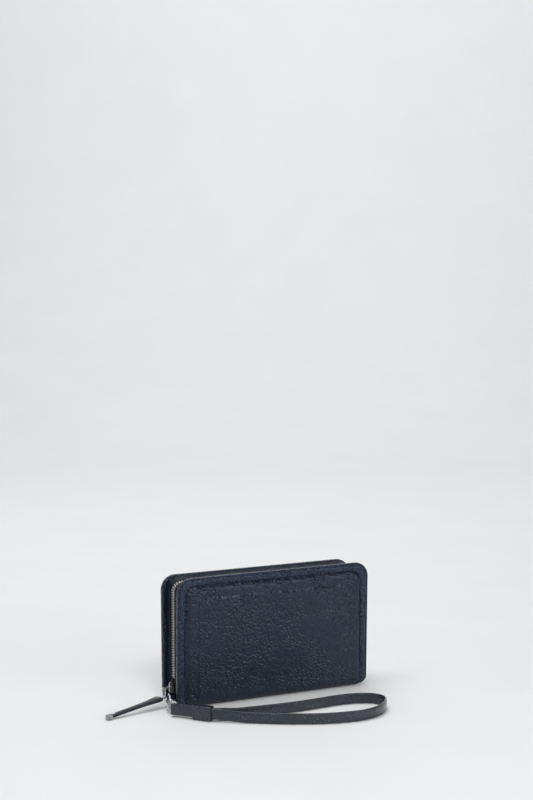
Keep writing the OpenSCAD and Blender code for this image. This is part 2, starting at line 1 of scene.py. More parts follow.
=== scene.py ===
"""Looks of a zip-around wristlet wallet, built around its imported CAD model.
Lengths in the helpers are millimetres; objects are made in metres in the CAD frame:
+X to the right of the front, +Y to the back, +Z up."""

import functools
from math import atan2, copysign, cos, exp, hypot, pi, radians, sin, sqrt, tan

import bmesh
import bpy
import numpy as np
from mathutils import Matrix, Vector


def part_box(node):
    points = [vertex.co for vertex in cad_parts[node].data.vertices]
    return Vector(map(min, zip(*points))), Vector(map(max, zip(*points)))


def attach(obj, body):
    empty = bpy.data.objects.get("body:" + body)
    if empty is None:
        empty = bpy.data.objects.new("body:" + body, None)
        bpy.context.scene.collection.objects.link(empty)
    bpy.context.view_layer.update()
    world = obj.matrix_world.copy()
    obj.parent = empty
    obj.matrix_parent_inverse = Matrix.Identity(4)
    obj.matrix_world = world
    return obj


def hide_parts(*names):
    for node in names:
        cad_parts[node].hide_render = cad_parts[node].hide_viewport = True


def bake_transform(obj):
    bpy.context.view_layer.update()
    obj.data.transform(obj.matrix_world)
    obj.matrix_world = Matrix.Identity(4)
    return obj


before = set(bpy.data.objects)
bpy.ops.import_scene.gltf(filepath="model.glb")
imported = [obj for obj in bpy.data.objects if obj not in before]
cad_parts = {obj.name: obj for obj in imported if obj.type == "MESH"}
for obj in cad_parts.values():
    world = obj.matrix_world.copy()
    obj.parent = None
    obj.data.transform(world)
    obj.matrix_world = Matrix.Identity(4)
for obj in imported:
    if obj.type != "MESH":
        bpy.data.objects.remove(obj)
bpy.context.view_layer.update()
SCENE = bpy.context.scene
MM = 0.001


def vec(*values):
    """A point or direction."""
    return np.array(values)


# ---- sizes, as in the CAD source
WALLET_W, WALLET_H, BACK_H = 190.0, 114.5, 112.0
HALF_W = WALLET_W / 2
HALF_FOOT, HALF_TOP = 17.5, 19.5
FOLD_R = 7.0
FOLD_Y = HALF_FOOT + (HALF_TOP - HALF_FOOT) * FOLD_R / WALLET_H - FOLD_R
TOP_R, FOOT_R = 13.0, 9.0
SHELL_T = 4.5
LEAN = atan2(HALF_TOP - FOLD_Y - FOLD_R, WALLET_H + 1 - FOLD_R)
BORDER_W = 7.0
WALL_W, WALL_TOP, WALL_R, WALL_FOOT = HALF_W - 3.4, WALLET_H - 5.2, 9.0, 11.0
WALL_T, TAPE_T = 0.9, 0.6
LINK = vec(-93.75, 0.0, 16.0)
LINK_TURN, LINK_ARM, LINK_DROP = 196.0, 7.4, 7.6
PULL_SLOPE, PULL_LEN, CAP_LEN = 5.6, 63.0, 5.0
STRAP_BAR = vec(-106.0, -34.0)
NECK_END = vec(-82.0, -63.0)
NECK_Z, LOOP_Z, STRAP_W, NECK_W, STRAP_T = 6.7, 5.0, 9.4, 9.6, 2.2
KEEPER_LEN = 17.0
LOOP_POINTS = [(-83.2, -63.3), (-66, -76), (-50, -87), (-34, -97), (-17, -106), (0, -113),
               (17, -117), (34, -118), (51, -112.5), (64, -101.5), (70.5, -88.5), (66, -76.5),
               (53, -70), (36, -68), (18, -69), (0, -70), (-17, -69.5), (-34, -68),
               (-50, -66.5), (-66, -64.5), (-81.5, -61.9)]


# ---- noise
@functools.lru_cache(maxsize=None)
def lattice(seed, shape):
    """A table of fixed random values from -1 to 1."""
    return np.random.default_rng(seed).uniform(-1, 1, shape)


def cell_and_place(x):
    """The cell that x is in, and its eased place in that cell, from 0 to 1."""
    cell = np.asarray(np.floor(x)).astype(int)
    t = x - cell
    return cell, t * t * (3 - 2 * t)


def noise1(x, seed, cells=512):
    """Smooth noise on a line, from -1 to 1, one feature per unit."""
    table = lattice(seed, cells)
    i, t = cell_and_place(x)
    return table[i % cells] * (1 - t) + table[(i + 1) % cells] * t


def noise2(x, y, seed, cells=128):
    """Smooth noise on a plane, from -1 to 1, one feature per unit."""
    table = lattice(seed, (cells, cells))
    i, tx = cell_and_place(x)
    j, ty = cell_and_place(y)
    left, right = i % cells, (i + 1) % cells
    near, far = j % cells, (j + 1) % cells
    low = table[left, near] * (1 - tx) + table[right, near] * tx
    high = table[left, far] * (1 - tx) + table[right, far] * tx
    return low * (1 - ty) + high * ty


# ---- mesh helpers
def new_object(name, data):
    """An object in the scene with this mesh, light or camera."""
    obj = bpy.data.objects.new(name, data)
    SCENE.collection.objects.link(obj)
    return obj


def piece(name, verts, faces, body, material, replaces=(), blend=None):
    """A mesh object from millimetre vertices, welded, that rides on a body; given blend, it is
    left unparented in place.
    """
    mesh = bpy.data.meshes.new(name)
    mesh.from_pydata([tuple(v) for v in np.asarray(verts, float) * MM], [], faces)
    bm = bmesh.new()
    bm.from_mesh(mesh)
    bmesh.ops.remove_doubles(bm, verts=bm.verts, dist=2e-6)
    bmesh.ops.dissolve_degenerate(bm, edges=bm.edges, dist=1e-6)
    bmesh.ops.recalc_face_normals(bm, faces=bm.faces)
    for f in bm.faces:
        f.smooth = True
    bm.to_mesh(mesh)
    bm.free()
    obj = new_object(name, mesh)
    mesh.materials.append(material)
    if blend:
        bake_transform(obj)
    else:
        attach(obj, body)
    if replaces:
        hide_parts(*replaces)
    return obj


def grid_faces(rows, cols, wrap_cols=False, start=0):
    """Four-sided faces over rows of vertices; wrap_cols joins each row's end to its start."""
    faces = []
    for r in range(rows - 1):
        for c in range(cols if wrap_cols else cols - 1):
            d = (c + 1) % cols
            faces.append((start + r * cols + c, start + r * cols + d,
                          start + (r + 1) * cols + d, start + (r + 1) * cols + c))
    return faces


def capped_faces(rows, cols, start=0):
    """Faces of a tube of rings, with both ends closed."""
    faces = grid_faces(rows, cols, wrap_cols=True, start=start)
    faces.append(tuple(start + k for k in range(cols))[::-1])
    faces.append(tuple(start + (rows - 1) * cols + k for k in range(cols)))
    return faces


def looped_faces(rows, cols):
    """Faces of a tube of rings whose last ring joins the first."""
    faces = grid_faces(rows, cols, wrap_cols=True)
    last = (rows - 1) * cols
    for c in range(cols):
        d = (c + 1) % cols
        faces.append((last + c, last + d, d, c))
    return faces


def sweep(stations, section, make_faces=capped_faces):
    """A closed section swept along stations of (origin, e1, e2); section(i) gives its points."""
    verts = []
    for i, (o, e1, e2) in enumerate(stations):
        for a, b in section(i):
            verts.append(np.asarray(o) + a * np.asarray(e1) + b * np.asarray(e2))
    return verts, make_faces(len(stations), len(section(0)))


def stations_along(points, up):
    """Stations of (point, side direction, up) for a path that stays square to up."""
    up = np.array(up)
    out = []
    for i, at in enumerate(points):
        along = points[min(i + 1, len(points) - 1)] - points[max(i - 1, 0)]
        out.append((at, np.cross(up, along / np.linalg.norm(along)), up))
    return out


def rounded_box(a, b, r, steps=4):
    """Closed outline of a rounded rectangle with half sizes a and b."""
    points = []
    for cx, cy, start in ((a - r, b - r, 0), (r - a, b - r, 90), (r - a, r - b, 180),
                          (a - r, r - b, 270)):
        for k in range(steps + 1):
            t = radians(start + 90 * k / steps)
            points.append((cx + r * cos(t), cy + r * sin(t)))
    return points


def thicken(outer, inner, faces):
    """A closed shell from two matching vertex lists and the outer one's faces."""
    n = len(outer)
    count = {}
    for f in faces:
        for a, b in zip(f, f[1:] + f[:1]):
            count.setdefault((min(a, b), max(a, b)), []).append((a, b))
    made = list(faces) + [tuple(n + k for k in reversed(f)) for f in faces]
    for uses in count.values():
        if len(uses) == 1:
            a, b = uses[0]
            made.append((b, a, n + a, n + b))
    return list(outer) + list(inner), made


# ---- materials
def new_material(name):
    """A material with its node tree and its surface shader."""
    m = bpy.data.materials.new(name)
    m.use_nodes = True
    tree = m.node_tree
    return m, tree, tree.nodes["Principled BSDF"]


def link(tree, a, b):
    """Joins the output a to the input b."""
    tree.links.new(a, b)


def set_values(n, **values):
    """Sets a node's settings and the values of its inputs, by name."""
    for key, value in values.items():
        if hasattr(n, key):
            setattr(n, key, value)
        else:
            n.inputs[key.replace("_", " ")].default_value = value


def node(tree, kind, **values):
    """A new shader node, with its settings and the values of its inputs."""
    n = tree.nodes.new("ShaderNode" + kind)
    set_values(n, **values)
    return n


def math_node(tree, operation, a, b=None):
    """The result of one sum on numbers or other nodes' outputs."""
    n = node(tree, "Math", operation=operation)
    for i, value in enumerate((a, b)):
        if value is None:
            continue
        if isinstance(value, (int, float)):
            n.inputs[i].default_value = value
        else:
            link(tree, value, n.inputs[i])
    return n.outputs[0]


def add(tree, a, b):
    """The sum of two numbers or outputs."""
    return math_node(tree, "ADD", a, b)


def times(tree, a, b):
    """The product of two numbers or outputs."""
    return math_node(tree, "MULTIPLY", a, b)


def ramp(tree, source, stops):
    """A colour or grey that follows the source through the stops."""
    n = node(tree, "ValToRGB")
    link(tree, source, n.inputs[0])
    elements = n.color_ramp.elements
    while len(elements) < len(stops):
        elements.new(0.5)
    for e, (at, value) in zip(elements, stops):
        e.position = at
        e.color = (*value, 1) if isinstance(value, tuple) else (value, value, value, 1)
    return n.outputs[0]


def placed(tree, stretch=(1, 1, 1)):
    """Coordinates in millimetres, stretched, from the object's own position."""
    coord = node(tree, "TexCoord")
    mapping = node(tree, "Mapping")
    mapping.inputs["Scale"].default_value = tuple(1000 * s for s in stretch)
    link(tree, coord.outputs["Object"], mapping.inputs["Vector"])
    return mapping.outputs[0]


def noise_at(tree, at, scale, detail, output="Fac"):
    """A noise texture's grey value or colour, with features 1 / scale mm across."""
    n = node(tree, "TexNoise", Scale=scale, Detail=detail)
    link(tree, at, n.inputs["Vector"])
    return n.outputs[output]


def relief(tree, bsdf, height, strength, depth):
    """Bumps that follow the height; depth is in metres."""
    bumper = node(tree, "Bump", Strength=strength, Distance=depth)
    link(tree, height, bumper.inputs["Height"])
    link(tree, bumper.outputs[0], bsdf.inputs["Normal"])


def coloured(tree, bsdf, source, stops):
    """The surface's colour, from a ramp over the source."""
    link(tree, ramp(tree, source, stops), bsdf.inputs["Base Color"])


def leather(name, dark, light, cell, bump, rough, crease=0.35, coat=0.0, shine=0.5):
    """Pebbled leather: soft domes about a cell wide, broader folds, and slow swells."""
    m, tree, bsdf = new_material(name)
    at = placed(tree)
    warp = noise_at(tree, at, 0.16, 1.0, "Color")
    moved = node(tree, "VectorMath", operation="MULTIPLY_ADD")
    link(tree, warp, moved.inputs[0])
    moved.inputs[1].default_value = (1.2, 1.2, 1.2)
    link(tree, at, moved.inputs[2])
    domes = node(tree, "TexVoronoi", feature="SMOOTH_F1", Scale=1 / cell, Smoothness=0.25)
    link(tree, moved.outputs[0], domes.inputs["Vector"])
    pebble = times(tree, domes.outputs["Distance"], domes.outputs["Distance"])
    broad = node(tree, "TexVoronoi", feature="DISTANCE_TO_EDGE", Scale=1 / (3 * cell))
    link(tree, moved.outputs[0], broad.inputs["Vector"])
    folds = ramp(tree, broad.outputs["Distance"], [(0.0, 0.0), (0.15, 0.85), (0.4, 1.0)])
    swell = noise_at(tree, at, 0.05, 2.0)
    # patches where the grain stands out more and the surface is smoother
    patches = ramp(tree, noise_at(tree, at, 0.045, 3.0), [(0.4, 0.0), (0.6, 1.0)])
    grain = times(tree, pebble, add(tree, times(tree, patches, 0.8), 0.45))
    height = add(tree, times(tree, grain, -0.5 * cell), times(tree, folds, 0.3 * crease))
    relief(tree, bsdf, add(tree, height, times(tree, swell, 0.8)), 1.0, 0.001 * bump)
    # the colour is painted lighter on the dome tops and darker in the valleys between them, as
    # painted light and shade on the grain
    coloured(tree, bsdf, pebble, [(0.05, light), (0.4, dark)])
    link(tree, add(tree, times(tree, patches, -0.06), rough), bsdf.inputs["Roughness"])
    set_values(bsdf, Specular_IOR_Level=shine, Specular_Tint=(0.68, 0.84, 1.0, 1.0),
               Coat_Weight=coat, Coat_Roughness=0.3)
    return m


def cloth(name, dark, light, pitch, bump, rough=0.75, across=(1, 0, 1), up=(0, 0, 1)):
    """Twill: two sets of fine ribs, one of them slanted, with slubs."""
    m, tree, bsdf = new_material(name)
    at = placed(tree)
    split = node(tree, "SeparateXYZ")
    link(tree, at, split.inputs[0])

    def along(weights):
        """The distance along a direction, as a weighted sum of X, Y and Z."""
        total = 0.0
        for k, w in enumerate(weights):
            if w:
                total = add(tree, times(tree, split.outputs[k], w), total)
        return total

    # one rib of the first set to a pitch, and about half a rib of the second
    first = math_node(tree, "SINE", times(tree, along(across), 6.283 / pitch))
    second = math_node(tree, "SINE", times(tree, along(up), 3.1 / pitch))
    weave = times(tree, add(tree, first, 1.0), add(tree, times(tree, second, 0.5), 1.0))
    weave = times(tree, weave, add(tree, noise_at(tree, at, 1.5, 4.0), 0.4))
    relief(tree, bsdf, weave, bump, 0.0002)
    coloured(tree, bsdf, times(tree, weave, 0.4), [(0.1, dark), (0.9, light)])
    set_values(bsdf, Roughness=rough, Sheen_Weight=0.2)
    return m


def metal(name, dark, light, rough):
    """Plated metal with fine brushing, slight waviness and a rubbed, uneven polish."""
    m, tree, bsdf = new_material(name)
    at = placed(tree)
    fine = noise_at(tree, at, 9.0, 4.0)
    broad = noise_at(tree, at, 0.6, 2.0)
    relief(tree, bsdf, add(tree, times(tree, fine, 0.3), broad), 0.08, 0.0001)
    coloured(tree, bsdf, broad, [(0.3, dark), (0.7, light)])
    link(tree, add(tree, times(tree, fine, 0.12), rough), bsdf.inputs["Roughness"])
    bsdf.inputs["Metallic"].default_value = 1.0
    return m


def fibre(name, dark, light, scale, bump, rough):
    """Matt fibrous stuff, such as board, thread and edge paint."""
    m, tree, bsdf = new_material(name)
    grain = noise_at(tree, placed(tree), scale, 5.0)
    relief(tree, bsdf, grain, bump, 0.0002)
    coloured(tree, bsdf, grain, [(0.3, dark), (0.7, light)])
    bsdf.inputs["Roughness"].default_value = rough
    return m


PANEL = leather("panel_leather", (0.0042, 0.0067, 0.0168), (0.0072, 0.0118, 0.0275), 2.2,
                0.62, 0.34)
BORDER = leather("border_leather", (0.008, 0.0125, 0.028), (0.0135, 0.021, 0.046), 2.1, 0.8, 0.26)
# the wall is the panel's navy leather painted darker, as painted shade in the zip's recess, and
# with less shine
WALL = leather("wall_leather_painted_shade", (0.003, 0.005, 0.012), (0.006, 0.01, 0.024), 2.2, 0.8, 0.4,
               shine=0.2)
STRAP = leather("strap_leather", (0.001, 0.002, 0.005), (0.003, 0.005, 0.012), 2.0, 1.2, 0.22,
                coat=0.9)
PULL = leather("pull_leather", (0.008, 0.01, 0.014), (0.018, 0.021, 0.028), 0.9, 0.45, 0.32)
EDGE = fibre("edge_paint", (0.01, 0.012, 0.018), (0.018, 0.021, 0.03), 3.0, 0.15, 0.35)
THREAD = fibre("thread", (0.012, 0.017, 0.03), (0.035, 0.045, 0.07), 9.0, 0.5, 0.5)
TAPE = cloth("zip_tape_weave", (0.002, 0.002, 0.003), (0.008, 0.008, 0.01), 0.45, 0.6,
             across=(1, 1, 1), up=(0, -1, 1))
LINING = cloth("lining_twill", (0.02, 0.028, 0.05), (0.05, 0.066, 0.105), 0.5, 0.35, 0.6)
NICKEL = metal("nickel", (0.8, 0.81, 0.83), (0.93, 0.93, 0.95), 0.24)
TEETH = metal("zip_tooth_metal", (0.62, 0.62, 0.62), (0.85, 0.85, 0.84), 0.3)
GUNMETAL = metal("gunmetal", (0.2, 0.2, 0.21), (0.42, 0.42, 0.43), 0.26)
# near-black metal for the slider's plates, as painted shade where they sit in the zip's recess
SLIDER_SHADE_METAL = metal("slider_plate_painted_shade", (0.012, 0.012, 0.014), (0.03, 0.03, 0.033), 0.4)
BOARD = fibre("board", (0.28, 0.25, 0.2), (0.42, 0.38, 0.31), 1.2, 0.3, 0.9)


# ---- panels
class Half:
    """The outer surface of one half as a sheet: u across, v from the spine's middle upward."""

    def __init__(self, side, height):
        self.side = side
        self.flat = FOLD_Y
        self.arc = FOLD_R * pi / 2
        self.top = self.flat + self.arc + (height - FOLD_R) / cos(LEAN)

    def profile(self, v):
        """Y and Z of the surface at v, and its outward normal there."""
        if v < self.flat:
            y, z, ny, nz = -v, 0.0, 0.0, -1.0
        elif v < self.flat + self.arc:
            t = (v - self.flat) / FOLD_R
            ny, nz = -sin(t), -cos(t)
            y, z = -FOLD_Y + FOLD_R * ny, FOLD_R + FOLD_R * nz
        else:
            t = v - self.flat - self.arc
            y, z = -FOLD_Y - FOLD_R - t * sin(LEAN), FOLD_R + t * cos(LEAN)
            ny, nz = -cos(LEAN), -sin(LEAN)
        return y, z, ny, nz

    def width(self, v):
        """Half the wallet's width at v; it narrows toward the foot."""
        z = self.profile(v)[1]
        if z >= FOOT_R:
            return HALF_W
        return HALF_W - FOOT_R + sqrt(FOOT_R ** 2 - (FOOT_R - z) ** 2)

    def point(self, u, v, h):
        """The point at u and v, raised h over the surface."""
        y, z, ny, nz = self.profile(v)
        return vec(u, self.side * (y + h * ny), z + h * nz)

    def rail(self, low, side_step=0.8, top_step=0.6):
        """Samples of the U-shaped edge: (kind, value) from the left foot to the right foot."""
        sides = np.linspace(low, self.top - TOP_R, int((self.top - TOP_R - low) / side_step))
        turns = np.linspace(0, 90, 19)[1:-1]
        across = np.linspace(-1, 1, int(2 * (HALF_W - TOP_R) / top_step))
        return ([("side", -1, v) for v in sides] + [("corner", -1, t) for t in turns]
                + [("top", 0, a) for a in across] + [("corner", 1, t) for t in turns[::-1]]
                + [("side", 1, v) for v in sides[::-1]])

    def inset(self, sample, d, low):
        """U and V of a rail sample moved inward by d."""
        kind, side, value = sample
        r = float(np.interp(d, (0, 8, 20), (TOP_R, 0.8 * TOP_R, 0)))
        high = self.top - d - r
        if kind == "side":
            v = low + (value - low) * (high - low) / (self.top - TOP_R - low)
            return side * (self.width(v) - d), v
        if kind == "corner":
            t = radians(value)
            return side * (HALF_W - d - r + r * cos(t)), high + r * sin(t)
        return value * (HALF_W - d - r), self.top - d


def rail_lengths(points):
    """The distance along the points from the first to each of them."""
    steps = [0.0] + [float(np.linalg.norm(b - a)) for a, b in zip(points, points[1:])]
    return np.cumsum(steps)


# the seam's stitch pitch, and how far in from the edge its dimples lie
SEAM_PITCH, SEAM_D = 3.1, 7.3
# the thread's distance in, its height over the surface and its radius
THREAD_D, THREAD_H, THREAD_R = 7.6, -0.3, 0.3
STITCH_LEN = 2.0


def pucker(s, d, seed, reach, strength):
    """Short wrinkles square to the seam, deepest at the crease, and a dimple at each stitch."""
    fade = max(1 - abs(d - BORDER_W) / reach, 0) ** 1.2
    shift = 0.6 * noise1(d * 0.35 + s * 0.07, seed + 3)
    fine = noise1(s / 2.6 + shift, seed)
    broad = noise1(s / 6.2 + shift, seed + 1)
    strong = 0.6 + 0.4 * noise1(s / 23.0, seed + 2)
    hole = 0.5 - 0.5 * cos(2 * pi * s / SEAM_PITCH)
    dimple = 0.3 * hole ** 2 * exp(-((d - SEAM_D) / 0.7) ** 2)
    return -strength * fade * strong * (abs(fine) * 0.6 + abs(broad) * 0.7) - dimple


BORDER_SECTION = [
    # distance in from the edge, height over the surface
    (7.0, -1.15), (7.35, -0.95), (7.4, -0.6), (7.2, -0.22), (6.8, -0.02), (6.2, 0.14),
    (5.3, 0.3), (4.3, 0.38), (3.3, 0.34), (2.5, 0.18), (2.0, -0.04), (1.7, -0.4), (1.45, -0.55),
    (1.2, -0.42), (1.0, -0.16), (0.7, -0.12), (0.35, -0.3), (0.1, -0.62), (0.0, -1.1),
    (0.0, -1.7), (0.0, -2.4), (0.03, -3.1), (0.15, -3.6),
    (0.45, -4.05), (0.9, -4.35), (1.5, -4.5), (2.6, -4.54), (3.9, -4.52), (4.8, -4.5),
    (5.15, -4.3), (5.1, -3.95), (4.7, -3.72), (3.0, -3.72), (1.6, -3.6), (1.25, -3.2),
    (1.2, -2.3), (1.25, -1.7), (1.8, -1.3), (4.0, -1.2)]


# below this height lie the border's edge and back, which get thinner toward the spine
BORDER_BACK = -1.2


def border_piece(part, half, seed):
    """The raised border: one section swept along the edge, thinner under the spine's bend."""
    low = half.flat + 0.8
    rail = half.rail(low)
    lengths = rail_lengths([np.array(half.inset(sample, BORDER_W / 2, low)) for sample in rail])
    verts = []
    for sample, s in zip(rail, lengths):
        for d, h in BORDER_SECTION:
            u, v = half.inset(sample, d, low)
            past_spine = np.clip((v - half.flat) / half.arc, 0, 1)
            if h < BORDER_BACK:
                h = BORDER_BACK + (h - BORDER_BACK) * (0.12 + 0.88 * past_spine ** 1.5)
            if -0.7 < h < 0.4 and d > 1.8:
                h += pucker(s, d, seed, 6.0, 1.3) + 0.1 * noise1(s / 9, seed + 9)
            verts.append(half.point(u, v, h))
    faces = capped_faces(len(rail), len(BORDER_SECTION))
    piece(f"{part}_border_leather", verts, faces, f"{part}_half", BORDER,
          [f"{part}_border"])


# the padded panel: where it starts to rise, how wide that rise is, its lowest edge and height
PAD_D, PAD_RISE_W = 6.6, 5.4
PAD_LOW, PAD_RISE = -1.05, 2.5
COVER_T = 0.9


def cover_height(d, s, u, v, seed):
    """The padded panel: it rises from under the border's edge and crowns gently."""
    t = min(max((d - PAD_D) / PAD_RISE_W, 0), 1)
    rise = PAD_LOW + PAD_RISE * sin(t * pi / 2) ** 0.75
    rise += 0.12 * noise2(u / 26 + 40, v / 22 + 40, seed)
    return rise + pucker(s, d, seed, 8.0, 1.0) * (1 if d > BORDER_W else 0.3)


COVER_INSETS = [6.3, 6.7, 7.1, 7.5, 7.9, 8.4, 9.0, 9.7, 10.5, 11.5, 12.6, 13.0, 15.0, 17.5, 20.0]


def cover_piece(part, half, seed, blend=None):
    """The panel's leather: rings inside the border, then a grid over the middle."""
    low = 0.0
    rail = half.rail(low)
    deepest = COVER_INSETS[-1]
    lengths = rail_lengths([np.array(half.inset(sample, BORDER_W, low)) for sample in rail])
    foot = half.flat + 1.0
    outer, inner = [], []

    def lay(u, v, d, s):
        """One point of both faces; the padding is pressed flat under the spine."""
        h = cover_height(d, s, u, v, seed)
        press = np.clip((v - foot) / half.arc, 0, 1)
        h = h * press if h > 0 else h * (0.35 + 0.65 * press)
        outer.append(half.point(u, v, h))
        inner.append(half.point(u, v, h - COVER_T))

    for d in COVER_INSETS:
        for sample, s in zip(rail, lengths):
            u, v = half.inset(sample, d, low)
            lay(u, v, d, s)
    faces = grid_faces(len(COVER_INSETS), len(rail))
    start = len(outer)
    sides = [x for x in rail if x[0] == "side" and x[1] == -1]
    across = [x for x in rail if x[0] == "top"]
    for sample in sides:
        v = half.inset(sample, deepest, low)[1]
        for _, _, a in across:
            lay(a * (half.width(v) - deepest), v, deepest, 0)
    for _, _, a in across:
        lay(a * (HALF_W - deepest), half.top - deepest, deepest, 0)
    faces += grid_faces(len(sides) + 1, len(across), start=start)
    verts, faces = thicken(outer, inner, faces)
    panel = piece(f"{part}_panel", verts, faces, f"{part}_half", PANEL,
                  [f"{part}_cover", f"{part}_padding"], blend=blend)


def stitch(verts, faces, at, along, up, length, r):
    """One stitch: a bowed, spindle-shaped bit of thread."""
    along, up = np.asarray(along, float), np.asarray(up, float)
    side = np.cross(along, up)
    rings, around = 7, 6
    start = len(verts)
    for i in range(rings):
        t = -1 + 2 * i / (rings - 1)
        radius = r * sqrt(max(1 - t * t * 0.93, 0.02))
        centre = at + along * t * length / 2 + up * r * 0.55 * (1 - t * t)
        for k in range(around):
            a = 2 * pi * k / around
            verts.append(centre + radius * (cos(a) * side + sin(a) * up))
    faces.extend(capped_faces(rings, around, start))


def seam_thread(part, half):
    """The row of stitches in the crease between the border and the panel."""
    low = half.flat + half.arc * 0.45
    points, ups = [], []
    for sample in half.rail(low, 0.4, 0.4):
        u, v = half.inset(sample, THREAD_D, low)
        _, _, ny, nz = half.profile(v)
        points.append(half.point(u, v, THREAD_H))
        ups.append(vec(0, half.side * ny, nz))
    s = rail_lengths(points)
    verts, faces = [], []
    for k in range(int(s[-1] / SEAM_PITCH)):
        i = int(np.clip(np.searchsorted(s, k * SEAM_PITCH), 2, len(points) - 3))
        along = points[i + 2] - points[i - 2]
        along = along / np.linalg.norm(along)
        stitch(verts, faces, points[i], along, ups[i], STITCH_LEN, THREAD_R)
    piece(f"{part}_seam_thread", verts, faces, f"{part}_half", THREAD)


FRONT, BACK = Half(1, WALLET_H), Half(-1, BACK_H)
SPINE_BEND = ("front_half", "back_half", (0, 0.004, 0), (0, (FOLD_Y + FOLD_R) * MM, 0.007))

cover_piece("front", FRONT, 11)
border_piece("front", FRONT, 23)
cover_piece("back", BACK, 37, blend=SPINE_BEND)
border_piece("back", BACK, 41)
seam_thread("front", FRONT)
seam_thread("back", BACK)


# ---- zip walls and tapes
def arch_size(inset):
    """Half the width, the corner radius and the top of the zip's arch, moved inward."""
    return WALL_W - inset, WALL_R - inset, WALL_TOP - inset


def arch_path(inset, low, step=1.2):
    """Points and outward normals of the zip's arch, left foot to right foot, in X and Z."""
    w, r, top = arch_size(inset)
    out = []
    for z in np.linspace(low, top - r, int((top - r - low) / step)):
        out.append(((-w, z), (-1.0, 0.0)))
    for t in np.radians(np.linspace(180, 90, 13))[1:-1]:
        out.append(((r - w + r * cos(t), top - r + r * sin(t)), (cos(t), sin(t))))
    for x in np.linspace(r - w, w - r, int(2 * (w - r) / step)):
        out.append(((x, top), (0.0, 1.0)))
    mirrored = [((-p[0], p[1]), (-n[0], n[1])) for p, n in out]
    corner = len(out) - int(2 * (w - r) / step)
    return out + mirrored[:corner][::-1]


def panel_inside(z):
    """How far the panel's inner face is from the middle at height z."""
    return FOLD_Y + FOLD_R + (z - FOLD_R) * tan(LEAN) - SHELL_T


def arch_band(part, side, name, inset, material, replaced, section):
    """A band along the arch; section(i, z) gives points of (distance from the middle, height)."""
    path = arch_path(inset, WALL_FOOT)
    stations = [((p[0], 0, p[1]), (0, side, 0), (n[0], 0, n[1])) for p, n in path]
    verts, faces = sweep(stations, lambda i: section(i, path[i][0][1]))
    piece(f"{part}_{name}", verts, faces, f"{part}_half", material, [f"{part}_{replaced}"])


def wall_section(i, z):
    """Leather from the tape to the panel; along the top it swells up beside the panel."""
    near = -5
    far = -(panel_inside(min(z, WALLET_H - 3)) + 0.05)
    half_t = WALL_T / 2
    sag = 0.25 * noise1(i / 7.0, 77)
    roll = 1.9 * min(max((z - WALL_TOP + 8) / 8, 0), 1)
    span = far - near
    points = [(-5.0, -0.35), (-4.92, 0.05), (-5.05, 0.4), (-5.5, 0.5)]
    for t in (0.12, 0.24, 0.36, 0.48, 0.6, 0.72, 0.84):
        hollow = (0.55 + sag) * sin(pi * t)
        points.append((near + span * t, half_t + roll * t ** 1.5 - hollow))
    points += [(far, half_t + roll), (far, -half_t), (near + span * 0.5, -0.95 - sag * 0.5),
               (-5.6, -0.5)]
    return points


def tape_section(i, _z):
    """Woven tape with a bead along the teeth and a slight wave."""
    wave = 0.05 * sin(i * 1.3)
    return [(-1.3, -0.25), (-1.2, 0.0), (-1.3, 0.25), (-2.2, 0.3), (-4.0, 0.3 + wave),
            (-6.5, 0.28), (-7.9, 0.2), (-8.0, 0.0), (-7.9, -0.2), (-6.5, -0.28),
            (-4.0, -0.3 + wave), (-2.2, -0.3)]


for part, side in (("front", 1), ("back", -1)):
    arch_band(part, side, "wall_leather_painted_shade", WALL_T / 2, WALL, "side_wall",
              wall_section)
    arch_band(part, side, "tape_weave", WALL_T + TAPE_T / 2, TAPE, "zip_tape",
              tape_section)


TOOTH_PITCH, CHAIN_INSET = 2.3, 1.2
# the heights at which the teeth begin, on the left and on the right
CHAIN_LOW = (24.0, 22.0)
# outlines of (distance over the middle, height), and rings of (place along the zip, size)
CLAMP_OUTLINE = [(-2.7, -0.9), (-2.5, -1.15), (-0.5, -1.15), (-0.15, -0.85), (-0.15, 0.85),
                 (-0.5, 1.15), (-2.5, 1.15), (-2.7, 0.9)]
CLAMP_RINGS = ((0.34, 0.82), (0.26, 1.0), (-0.26, 1.0), (-0.34, 0.82))
NOSE_OUTLINE = [(-0.6, -0.75), (0.55, -0.7), (0.85, -0.42), (0.92, 0.0), (0.85, 0.42),
                (0.55, 0.7), (-0.6, 0.75)]
NOSE_RINGS = ((0.28, 0.7), (0.2, 1.0), (-0.2, 1.0), (-0.28, 0.7))


def chain_place(s):
    """Point and outward normal on the zip's line at a distance from its lower left end."""
    w, r, top = arch_size(CHAIN_INSET)
    left, right, turn = top - r - CHAIN_LOW[0], top - r - CHAIN_LOW[1], r * pi / 2
    across = 2 * (w - r)

    def on_corner(x, angle):
        """The place on the corner's arc round x, at an angle in degrees."""
        t = radians(angle)
        return (x + r * cos(t), top - r + r * sin(t)), angle

    if s < left:
        return (-w, CHAIN_LOW[0] + s), 180.0
    s -= left
    if s < turn:
        return on_corner(r - w, 180 - 90 * s / turn)
    s -= turn
    if s < across:
        return (r - w + s, top), 90.0
    s -= across
    if s < turn:
        return on_corner(w - r, 90 - 90 * s / turn)
    return ((w, top - r - (s - turn)) if s - turn < right else None), 0.0


